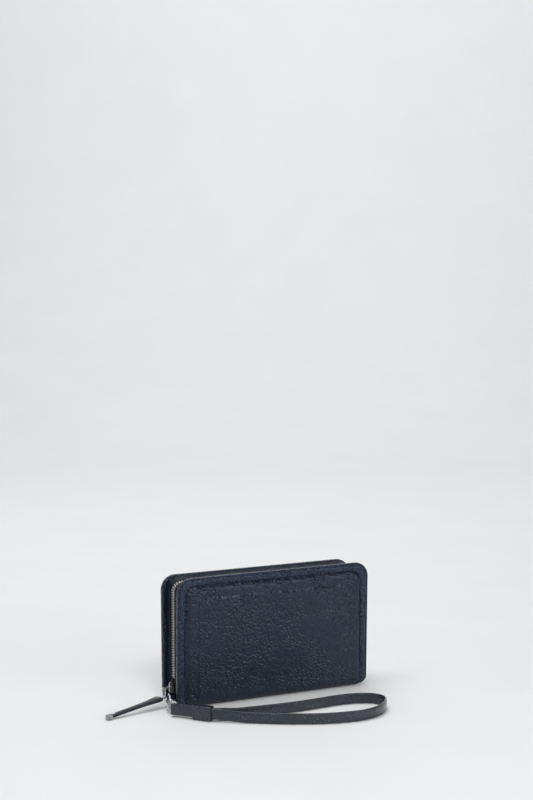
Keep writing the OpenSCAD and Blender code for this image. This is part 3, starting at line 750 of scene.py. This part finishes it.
def tooth_row(part, side, start):
    """Cast teeth: a rounded clamp on the tape and a narrower nose across the middle."""
    verts, faces, s = [], [], start
    while True:
        point, angle = chain_place(s)
        if point is None:
            break
        t = radians(angle)
        origin = vec(point[0], 0, point[1])
        normal = vec(cos(t), 0, sin(t))
        along = vec(sin(t), 0, -cos(t))
        for outline, rings in ((CLAMP_OUTLINE, CLAMP_RINGS), (NOSE_OUTLINE, NOSE_RINGS)):
            faces += capped_faces(len(rings), len(outline), len(verts))
            mid = np.mean(outline, axis=0)
            for step, size in rings:
                for y, n in outline:
                    y, n = mid[0] + (y - mid[0]) * size, mid[1] + (n - mid[1]) * size
                    verts.append(origin + along * step + normal * n + vec(0, side * y, 0))
        s += TOOTH_PITCH
    piece(f"{part}_tooth_row", verts, faces, f"{part}_half", TEETH,
          [f"{part}_zip_teeth"])


tooth_row("front", 1, 0.5)
tooth_row("back", -1, 0.5 + TOOTH_PITCH / 2)


# ---- main slider
PLATE_X, PLATE_T, SLIDER_Z = -92.6, 0.8, 16.0


def slider_plate(name, x, inward, replaced):
    """A shield-shaped plate with softened edges and a flange along each side."""
    shield = [(-2.6, -5.4), (2.6, -5.4), (4.5, -3.0), (4.5, 3.0), (3.4, 5.2), (-3.4, 5.2),
              (-4.5, 3.0), (-4.5, -3.0)]
    soften, sink = 0.18, 0.1
    flange_y, flange_half_t, flange_half_h = 4.2, 0.3, 3.0
    verts = []
    rings = [(0.0, 0.93), (soften, 1.0), (PLATE_T - soften, 1.0), (PLATE_T, 0.94)]
    for depth, size in rings:
        verts += [vec(x + depth, y * size, SLIDER_Z + z * size) for y, z in shield]
    faces = capped_faces(len(rings), len(shield))
    base = x + PLATE_T - sink if inward > 0 else x + sink
    flange_rings = ((0.0, 1.0), (0.75, 1.0), (0.9, 0.7))
    for side in (-1, 1):
        first = len(verts)
        for depth, size in flange_rings:
            half_h = flange_half_h * size + flange_half_t * (1 - size)
            for y, z in rounded_box(flange_half_t * size, half_h, 0.12, 2):
                verts.append(vec(base + inward * depth, side * flange_y + y, SLIDER_Z + z))
        around = (len(verts) - first) // len(flange_rings)
        faces += capped_faces(len(flange_rings), around, first)
    # the plates are painted near-black as shade of the recess
    piece(name, verts, faces, "zip_slider", SLIDER_SHADE_METAL, replaced)


def slider_bridge():
    """The bright arch that holds the pull's link, flattened where it lands on the plate."""
    rise, half_h, corner = 2.35, 4.35, 1.3
    path = [(0.25, -half_h), (corner - rise, -half_h)]
    for t in np.radians(np.linspace(270, 180, 8))[1:]:
        path.append((corner - rise + corner * cos(t), corner - half_h + corner * sin(t)))
    path += [(a, -b) for a, b in path[::-1]]
    points = [vec(PLATE_X + a, 0, SLIDER_Z + b) for a, b in path]
    stations = stations_along(points, (0, 1.0, 0))
    verts, faces = sweep(stations, lambda i: rounded_box(0.33, 0.55, 0.24, 3))
    piece("slider_bridge_arch", verts, faces, "zip_slider", NICKEL, ["slider_body"])


slider_plate("slider_front_plate", PLATE_X, 1, ["slider_body"])
slider_plate("slider_inner_plate", -WALL_W + CHAIN_INSET + 1.4, -1, ["slider_base"])
slider_bridge()


# ---- wrist strap
def catmull(points, steps):
    """A smooth curve through the points, with this many steps between each two."""
    p = [np.asarray(q, float) for q in points]
    out = []
    for i in range(len(p) - 1):
        a, b, c, d = p[max(i - 1, 0)], p[i], p[i + 1], p[min(i + 2, len(p) - 1)]
        for k in range(steps):
            t = k / steps
            out.append(0.5 * (2 * b + (c - a) * t + (2 * a - 5 * b + 4 * c - d) * t * t
                              + (3 * b - a - 3 * c + d) * t ** 3))
    return out + [p[-1]]


NECK = NECK_END - STRAP_BAR
NECK_LEN = float(np.linalg.norm(NECK))
NECK_DIR = NECK / NECK_LEN
NECK_SIDE = vec(-NECK_DIR[1], NECK_DIR[0])
# the fold round the clasp's bar, the strands' distance from the middle, and half thicknesses
BAR_FOLD_R, STRAND_OFF = 1.78, 1.12
FOLD_HALF_T, LOOP_HALF_T = 0.8, 1.1


def strand(side):
    """One of the neck's two strands, from the bar to the loop; they draw together."""
    out = []
    for t in np.linspace(0, 1, 24)[1:-1]:
        together = min(t * 1.6, 1)
        off = BAR_FOLD_R + (STRAND_OFF - BAR_FOLD_R) * together
        at = STRAP_BAR + t * (NECK_LEN - 1.2) * NECK_DIR + side * off * NECK_SIDE
        out.append((at, NECK_Z, FOLD_HALF_T + 0.28 * together))
    return out


def strap_line():
    """The strap's closed centreline with its height and half thickness at each point."""
    line = []
    for degrees in np.linspace(90, 270, 13):
        a = radians(degrees)
        at = STRAP_BAR + BAR_FOLD_R * (cos(a) * NECK_DIR + sin(a) * NECK_SIDE)
        line.append((at, NECK_Z, FOLD_HALF_T))
    line += strand(-1)
    loop = catmull(LOOP_POINTS, 9)
    for i, at in enumerate(loop):
        t = min(i, len(loop) - 1 - i, 14) / 14.0
        t = t * t * (3 - 2 * t)
        line.append((at, NECK_Z + (LOOP_Z - NECK_Z) * t, LOOP_HALF_T))
    return line + strand(1)[::-1]


STRAP_LINE = strap_line()


def strap_frames(line):
    """The centreline's points in space, each with its sideways and upward directions."""
    n = len(line)
    frames = []
    for i, (at, z, _) in enumerate(line):
        before, after = line[(i - 1) % n][0], line[(i + 1) % n][0]
        t = (after - before) / np.linalg.norm(after - before)
        frames.append((vec(*at, z), vec(-t[1], t[0], 0), vec(0, 0, 1.0)))
    return frames


STRAP_FRAMES = strap_frames(STRAP_LINE)
STRAP_S = rail_lengths([f[0] for f in STRAP_FRAMES])
# one face of the strap: shares of its half width and half thickness, with a line near each edge
STRAP_FACE = [(-0.97, 0.55), (-0.9, 0.83), (-0.8, 0.95), (-0.7, 0.9), (-0.6, 0.98),
              (-0.4, 1.03), (-0.15, 1.07)]
STRAP_FACE += [(-z, out) for z, out in STRAP_FACE[::-1]]


def strap_section(i):
    """Two faces and rounded edges, with faint wrinkles across the middle."""
    half_t = STRAP_LINE[i][2]
    b = STRAP_W / 2
    s = STRAP_S[i]
    points = []
    for side in (1, -1):
        for z, out in STRAP_FACE:
            z *= side
            wrinkle = 0.0
            if abs(z) < 0.65:
                wrinkle = (0.1 * noise2(s / 1.3 + 50, z * 1.3 + 9, 5 + side)
                           - 0.16 * abs(noise2(s / 3.1 + 20, z * 0.9 + 9, 8 + side)))
            points.append((side * (half_t * out * 0.97 + wrinkle), b * z))
        points.append((0.0, side * b))
    return points


verts, faces = sweep(STRAP_FRAMES, strap_section, looped_faces)
piece("strap_band", verts, faces, "wrist_strap", STRAP, ["strap"])


def strap_thread():
    """Stitch rows near both edges, on both faces of the strap."""
    verts, faces = [], []
    pitch, length, radius = 2.6, 1.9, 0.19
    for k in range(int(STRAP_S[-1] / pitch)):
        i = int(np.searchsorted(STRAP_S, (k + 0.5) * pitch))
        i = min(max(i, 1), len(STRAP_FRAMES) - 2)
        o, side, up = STRAP_FRAMES[i]
        along = STRAP_FRAMES[i + 1][0] - STRAP_FRAMES[i - 1][0]
        along = along / np.linalg.norm(along)
        half_t = STRAP_LINE[i][2]
        for face in (1, -1):
            for row in (0.7, -0.7):
                at = o + face * side * half_t * 0.84 + up * row * STRAP_W / 2
                stitch(verts, faces, at, along, face * side, length, radius)
    piece("strap_thread", verts, faces, "wrist_strap", THREAD)


strap_thread()


def keeper_piece():
    """A leather band round both strands, with rolled ends and a slight waist."""
    a, b = STRAP_T + 0.7, NECK_W / 2 + 0.45
    outer = rounded_box(a + 0.9, b + 0.8, 1.3, 5)
    inner = rounded_box(a - 0.25, b - 0.1, 0.7, 5)
    start = NECK_LEN - KEEPER_LEN - 1
    verts = []
    # places along the keeper, with the share of the way from the inner outline to the outer
    rolled = [(0.5, 0.0), (0.15, 0.12), (0.0, 0.5), (0.15, 0.86), (0.6, 1.0)]
    rows = rolled + [(x, 1.0) for x in np.linspace(1.2, KEEPER_LEN - 1.2, 9)]
    rows += [(KEEPER_LEN - x, k) for x, k in rolled[::-1]]
    for x, k in rows:
        base = STRAP_BAR + NECK_DIR * (start + x)
        for (oa, ob), (ia, ib) in zip(outer, inner):
            waist = 0.12 * sin(pi * x / KEEPER_LEN) * (1 if abs(ob) < b * 0.7 else 0)
            pa = ia + (oa - ia) * k - copysign(waist, oa)
            pb = ib + (ob - ib) * k
            verts.append([*(base + NECK_SIDE * pa), NECK_Z + pb])
    faces = looped_faces(len(rows), len(outer))
    piece("keeper_band", verts, faces, "wrist_strap", STRAP, ["strap_keeper"])


keeper_piece()


# ---- zip pull
def pull_axes():
    """The pull's hinge point, and its directions along, across and out of its face."""
    turn, slope = radians(LINK_TURN), radians(PULL_SLOPE)
    heading = vec(cos(turn), sin(turn), 0)
    origin = LINK + heading * LINK_ARM + vec(0, 0, -LINK_DROP)
    along = heading * cos(slope) + vec(0, 0, -sin(slope))
    side = vec(-sin(turn), cos(turn), 0)
    return origin, along, side, np.cross(along, side)


PULL_O, PULL_X, PULL_Y, PULL_Z = pull_axes()
PULL_PLAN = [(3.2, 2.6), (4.2, 3.7), (6.0, 4.05), (10, 4.05), (13, 3.9), (17, 3.4), (22, 2.9),
             (27, 2.55), (32, 2.35), (45, 2.3), (PULL_LEN - CAP_LEN + 1.5, 2.3)]


def pull_half_width(x):
    """Half the leather's width at a distance x from the hinge."""
    return np.interp(x, *zip(*PULL_PLAN))


def pull_skin(face, side):
    """One leather face of the pull: rounded over its edges, with a pressed line inside them."""
    xs = list(np.linspace(3.2, 6, 8)) + list(np.linspace(6.4, PULL_LEN - CAP_LEN + 1.2, 70))
    shape = [(-1.0, 0.06), (-1.02, 0.45), (-0.96, 0.85), (-0.84, 1.08), (-0.7, 1.1),
             (-0.62, 1.02), (-0.52, 1.14), (-0.25, 1.24), (0, 1.27)]
    shape += [(-a, b) for a, b in shape[-2::-1]]
    verts = []
    for x in xs:
        w = pull_half_width(x)
        ends = min(max((x - 3.0) / 2.2, 0), 1)
        puff = 1.0 + 0.28 * exp(-((x - 8) / 6) ** 2)
        for a, b in shape:
            lift = 0.12 + (b * 1.22 * puff - 0.12) * sqrt(ends)
            lift += 0.05 * noise2(x / 1.9 + 30, a * 2 + 30, 61)
            verts.append(PULL_O + PULL_X * x + PULL_Y * a * w + side * PULL_Z * max(lift, 0.05))
    faces = capped_faces(len(xs), len(shape))
    piece(f"pull_skin_{face}", verts, faces, "zip_pull", PULL,
          [f"pull_leather_{face}"])


pull_skin("top", 1)
pull_skin("bottom", -1)


# ---- interior
def sheet_mesh(grids):
    """Closed thin sheets from grids whose rows hold pairs of outer and inner points."""
    verts, faces = [], []
    for grid in grids:
        outer, inner = zip(*[pair for row in grid for pair in row])
        more_verts, more_faces = thicken(outer, inner, grid_faces(len(grid), len(grid[0])))
        faces += [tuple(k + len(verts) for k in face) for face in more_faces]
        verts += more_verts
    return verts, faces


def panel_sheet(half, low, high, near, far, depth, thick, seed, corner=0.0, hem=False):
    """A cloth sheet on the panel's inside, from near to far across and low to high up."""
    grid = []
    for z in np.linspace(low, high, int((high - low) / 2.5) + 2):
        drop = max(z - (high - corner), 0)
        cut = corner - sqrt(max(corner ** 2 - drop ** 2, 0))
        v = half.flat + half.arc + (z - FOLD_R) / cos(LEAN)
        edge = 0.22 if hem and high - z < 2.0 else 0.0
        a, b = near + cut * (near < 0 and corner > 0), far - cut
        row = []
        for u in np.linspace(a, b, int((far - near) / 3) + 2):
            wave = 0.07 * noise2(u / 9 + 50, z / 7 + 50, seed)
            row.append((half.point(u, v, -depth + wave + edge * 0.4),
                        half.point(u, v, -depth - thick + wave - edge)))
        grid.append(row)
    return grid


def cloth_piece(part, name, replaced, grids):
    """Lining cloth in one half of the wallet."""
    verts, faces = sheet_mesh(grids)
    obj = piece(f"{part}_{name}", verts, faces, f"{part}_half", LINING,
                [f"{part}_{replaced}"])


def lining_piece(part, half, height):
    """The cloth that covers the panel's inside, round-cornered at the top."""
    gap = 5.2
    edge = HALF_W - gap
    grid = panel_sheet(half, FOLD_R + 0.2, height - gap, -edge, edge, SHELL_T - 0.75, 0.62, 90,
                       corner=8.0)
    cloth_piece(part, "lining_cloth", "lining", [grid])


CARD_TOPS = {"high": 88.0, "middle": 76.0, "low": 64.0}
CARD_SHEET_T = 0.7
CARD_SIDE_GAP, CARD_HALF_GAP = 8, 1.6


def card_slot_piece(part, half, level, name):
    """Two hemmed pocket fronts side by side."""
    depth = SHELL_T + level * CARD_SHEET_T + 0.12
    low, high = 12.2, CARD_TOPS[name] - 0.1
    edge = HALF_W - CARD_SIDE_GAP
    grids = [panel_sheet(half, low, high, near, far, depth, 0.42, 100 + level, hem=True)
             for near, far in ((-edge, -CARD_HALF_GAP), (CARD_HALF_GAP, edge))]
    cloth_piece(part, f"card_cloth_{name}", f"card_slot_{name}", grids)


# the gussets' heights and thickness, and where they join the panel and the middle fold
GUSSET_LOW, GUSSET_HIGH, GUSSET_T = 12.3, 77.7, 0.5
GUSSET_PANEL_X, GUSSET_FOLD_X, GUSSET_FOLD_Y = 89.3, 84.9, 0.6


def gusset_piece(part, half):
    """The thin side leaves, bowed a little between the panel and the middle fold."""
    grids = []
    for side in (-1, 1):
        grid = []
        for z in np.linspace(GUSSET_LOW, GUSSET_HIGH, 28):
            root = panel_inside(z)
            row = []
            for t in np.linspace(0, 1, 12):
                bow = 0.35 * sin(pi * t) * noise1(z / 9 + 5 * side, 120)
                x = GUSSET_PANEL_X + (GUSSET_FOLD_X - GUSSET_PANEL_X) * t + bow
                y = -root + (root - GUSSET_FOLD_Y) * t
                row.append((vec(side * (x + GUSSET_T / 2), half.side * y, z),
                            vec(side * (x - GUSSET_T / 2), half.side * y, z)))
            grid.append(row)
        grids.append(grid)
    cloth_piece(part, "gusset_cloth", "gussets", grids)


for part, half, height in (("front", FRONT, WALLET_H), ("back", BACK, BACK_H)):
    lining_piece(part, half, height)
    for level, name in enumerate(CARD_TOPS):
        card_slot_piece(part, half, level, name)
    gusset_piece(part, half)


def strip_grid(low, high, lift, seed):
    """Top and underside points of a flat strip in a box, with slightly uneven cloth."""
    grid = []
    for y in np.linspace(low[1], high[1], 6):
        row = []
        for x in np.linspace(low[0], high[0], int((high[0] - low[0]) / 3.0)):
            wave = lift * noise2(x / 8 + 50, y / 5 + 50, seed)
            row.append((vec(x, y, high[2] + wave), vec(x, y, low[2])))
        grid.append(row)
    return grid


def box_mm(name):
    """The low and high corners of a CAD node's box, in millimetres."""
    low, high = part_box(name)
    return np.array(low) / MM, np.array(high) / MM


def spine_cloth():
    """The lining over the spine, a little uneven on top."""
    uneven = 0.1
    low, high = box_mm("spine_lining")
    verts, faces = sheet_mesh([strip_grid(low, high - [0, 0, uneven], uneven, 130)])
    piece("spine_lining_cloth", verts, faces, "front_half", LINING, ["spine_lining"])


def coin_tapes():
    """The coin zip's two tapes, apart by the teeth's width."""
    half_gap, inset = 1.35, 0.04
    low, high = box_mm("coin_zip_tapes")
    grids = []
    for y0, y1 in ((low[1], -half_gap), (half_gap, high[1])):
        grids.append(strip_grid([low[0], y0, low[2] + inset], [high[0], y1, high[2] - inset],
                                0.03, 131))
    verts, faces = sheet_mesh(grids)
    piece("coin_tape_weave", verts, faces, "coin_pocket", TAPE, ["coin_zip_tapes"])


def pocket_piece():
    """The coin pocket: an open bag of lining cloth whose sides belly and ripple slightly."""
    low, high = box_mm("coin_pocket")
    half_x, half_y, wall, corner = high[0], high[1], 0.45, 1.2
    turns = np.radians(np.linspace(15, 165, 8))
    xs = np.linspace(-half_x + corner, half_x - corner, 56)
    # each point's X, which flat side it is on, and its outward direction
    ring = [(x, -1.0, 0.0, -1.0) for x in xs]
    ring += [(half_x - corner, 0.0, sin(t), -cos(t)) for t in turns]
    ring += [(x, 1.0, 0.0, 1.0) for x in xs[::-1]]
    ring += [(corner - half_x, 0.0, -sin(t), cos(t)) for t in turns]
    rows = []
    for inset, heights in ((0.0, np.linspace(low[2], high[2], 30)),
                           (wall, np.linspace(high[2], low[2] + wall, 30))):
        for z in heights:
            up = (z - low[2]) / (high[2] - low[2])
            row = []
            for x, flat, nx, ny in ring:
                seed = 140 + int(flat + ny > 0)
                ripple = 0.14 * noise2(x / 11 + 60, z / 9 + 60, seed)
                # the ripple fades toward the mouth, where the coin slider runs
                belly = 0.25 - 0.2 * sin(pi * up) + ripple * min(1, 5 * (1 - up))
                reach = half_y - belly - inset
                px = x + nx * (corner - inset)
                row.append(vec(px, (flat if flat else ny) * reach, z))
            rows.append(row)
    verts = [p for row in rows for p in row]
    faces = capped_faces(len(rows), len(ring))
    piece("coin_pocket_cloth", verts, faces, "coin_pocket", LINING, ["coin_pocket"])


def tab_piece():
    """The D-ring's leather tab: one strip folded round the post, its ends side by side."""
    low, high = box_mm("d_ring_tab")
    post_x, post_y, mid_r = low[0] + 2.0, (low[1] + high[1]) / 2, 1.52
    foot_z = 3.2
    centre_z, half_z = (high[2] + foot_z) / 2, (high[2] - foot_z) / 2
    path = [(x, post_y + mid_r) for x in np.linspace(high[0] - 0.1, post_x, 10)]
    path += [(post_x - mid_r * sin(t), post_y + mid_r * cos(t))
             for t in np.radians(np.linspace(0, 180, 14))[1:-1]]
    path += [(x, post_y - mid_r) for x in np.linspace(post_x, high[0] - 0.1, 10)]
    stations = stations_along([vec(x, y, centre_z) for x, y in path], (0, 0, 1.0))
    verts, faces = sweep(stations, lambda i: rounded_box(0.46, half_z - 0.05, 0.3, 3))
    piece("d_ring_tab_leather", verts, faces, "front_half", BORDER,
          ["d_ring_tab"])


spine_cloth()
coin_tapes()
pocket_piece()
tab_piece()


# ---- CAD nodes that stay
def finish_cad(name, material, bevel=0.0):
    """Gives a CAD node its material and, where bevel is set, softened edges."""
    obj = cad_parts[name]
    obj.data.materials.clear()
    obj.data.materials.append(material)
    if bevel:
        weld = obj.modifiers.new("weld", "WELD")
        weld.merge_threshold = 5e-6
        soft = obj.modifiers.new("bevel", "BEVEL")
        soft.width = bevel * MM
        soft.segments = 2
        soft.limit_method = "ANGLE"
        soft.angle_limit = radians(35)


for name in ("front_zip_stops", "back_zip_stops", "coin_zip_teeth"):
    finish_cad(name, GUNMETAL, 0.1)
for name in ("pull_tongue", "clasp_hook", "clasp_gate", "coin_slider", "coin_slider_pull"):
    finish_cad(name, NICKEL, 0.16)
for name in ("pull_link", "d_ring", "gate_pin", "gate_spring", "swivel_ring", "pull_rivets"):
    finish_cad(name, NICKEL)
finish_cad("pull_end_cap", GUNMETAL, 0.3)
finish_cad("pull_core", EDGE)
for name in ("front_stiffener", "back_stiffener", "spine_stiffener"):
    finish_cad(name, BOARD)


# ---- stage, light and camera
def floor_material():
    """Nearly white paper with a faint unevenness."""
    m, tree, bsdf = new_material("floor_paper")
    tone = noise_at(tree, placed(tree, (0.02, 0.02, 0.02)), 0.4, 2.0)
    coloured(tree, bsdf, tone, [(0.3, (0.86, 0.86, 0.865)), (0.7, (0.88, 0.88, 0.885))])
    bsdf.inputs["Roughness"].default_value = 0.75
    return m


# the camera's heading in radians from +Y toward +X, and how far it looks down
CAMERA_TURN, CAMERA_PITCH = 0.470, 0.0796
CAMERA_AT = (-0.6251, -1.2315, 0.3752)
FOCAL_PIXELS, IMAGE_H = 1555, 800


def make_floor():
    """A sheet of paper that runs back and curves up behind the object; sizes in metres."""
    flat_end, bend = 1.6, 1.2
    profile = [(-4.0, 0.0), (flat_end, 0.0)]
    for t in np.radians(np.linspace(0, 90, 20))[1:]:
        profile.append((flat_end + bend * sin(t), bend - bend * cos(t)))
    profile.append((2.8, 5.0))
    verts = []
    across, back = cos(CAMERA_TURN), sin(CAMERA_TURN)
    for x in np.linspace(-5, 5, 11):
        for y, z in profile:
            verts.append((x * across + y * back, -x * back + y * across, z))
    mesh = bpy.data.meshes.new("floor")
    mesh.from_pydata(verts, [], grid_faces(11, len(profile)))
    for f in mesh.polygons:
        f.use_smooth = True
    mesh.materials.append(floor_material())
    new_object("floor", mesh)


def aim(obj, at, direction):
    """Puts a light or camera at a point, looking in a direction."""
    obj.location = at
    obj.rotation_mode = "QUATERNION"
    obj.rotation_quaternion = direction.to_track_quat("-Z", "Y")


def area_light(name, at, target, size, power):
    """A soft rectangular light at a point, aimed at another; metres and watts."""
    data = bpy.data.lights.new(name, "AREA")
    data.shape = "RECTANGLE"
    data.size, data.size_y = size
    data.energy = power
    aim(new_object(name, data), at, Vector(target) - Vector(at))


def make_world(strength):
    """Even, slightly cool light from all round."""
    world = bpy.data.worlds.new("studio")
    SCENE.world = world
    world.use_nodes = True
    back = world.node_tree.nodes["Background"]
    back.inputs["Color"].default_value = (0.92, 0.96, 1.0, 1)
    back.inputs["Strength"].default_value = strength


def make_camera():
    """The camera at the photograph's angle, distance and focal length."""
    data = bpy.data.cameras.new("camera")
    data.sensor_width = 36
    data.lens = FOCAL_PIXELS / IMAGE_H * data.sensor_width
    data.clip_start, data.clip_end = 0.05, 50
    cam = new_object("camera", data)
    level = cos(CAMERA_PITCH)
    aim(cam, CAMERA_AT, Vector((level * sin(CAMERA_TURN), level * cos(CAMERA_TURN),
                                -sin(CAMERA_PITCH))))
    bpy.context.scene.camera = cam


make_floor()
make_world(0.2)
area_light("top_soft", (-0.2, 0.25, 1.9), (0, 0, 0), (1.6, 1.2), 20)
area_light("left_soft", (-1.9, 0.1, 0.9), (0, 0, 0.05), (0.9, 1.2), 3.5)
area_light("key_front", (0.8, -1.7, 0.48), (0, 0, 0.06), (1.1, 0.4), 8)
area_light("front_soft", (-0.35, -1.5, 1.35), (0, -0.15, 0.0), (0.6, 0.4), 11)
area_light("backdrop_soft", (0.6, 0.9, 2.4), (1.6, 3.6, 1.1), (2.4, 1.4), 31)
make_camera()
SCENE.view_settings.view_transform = "Standard"
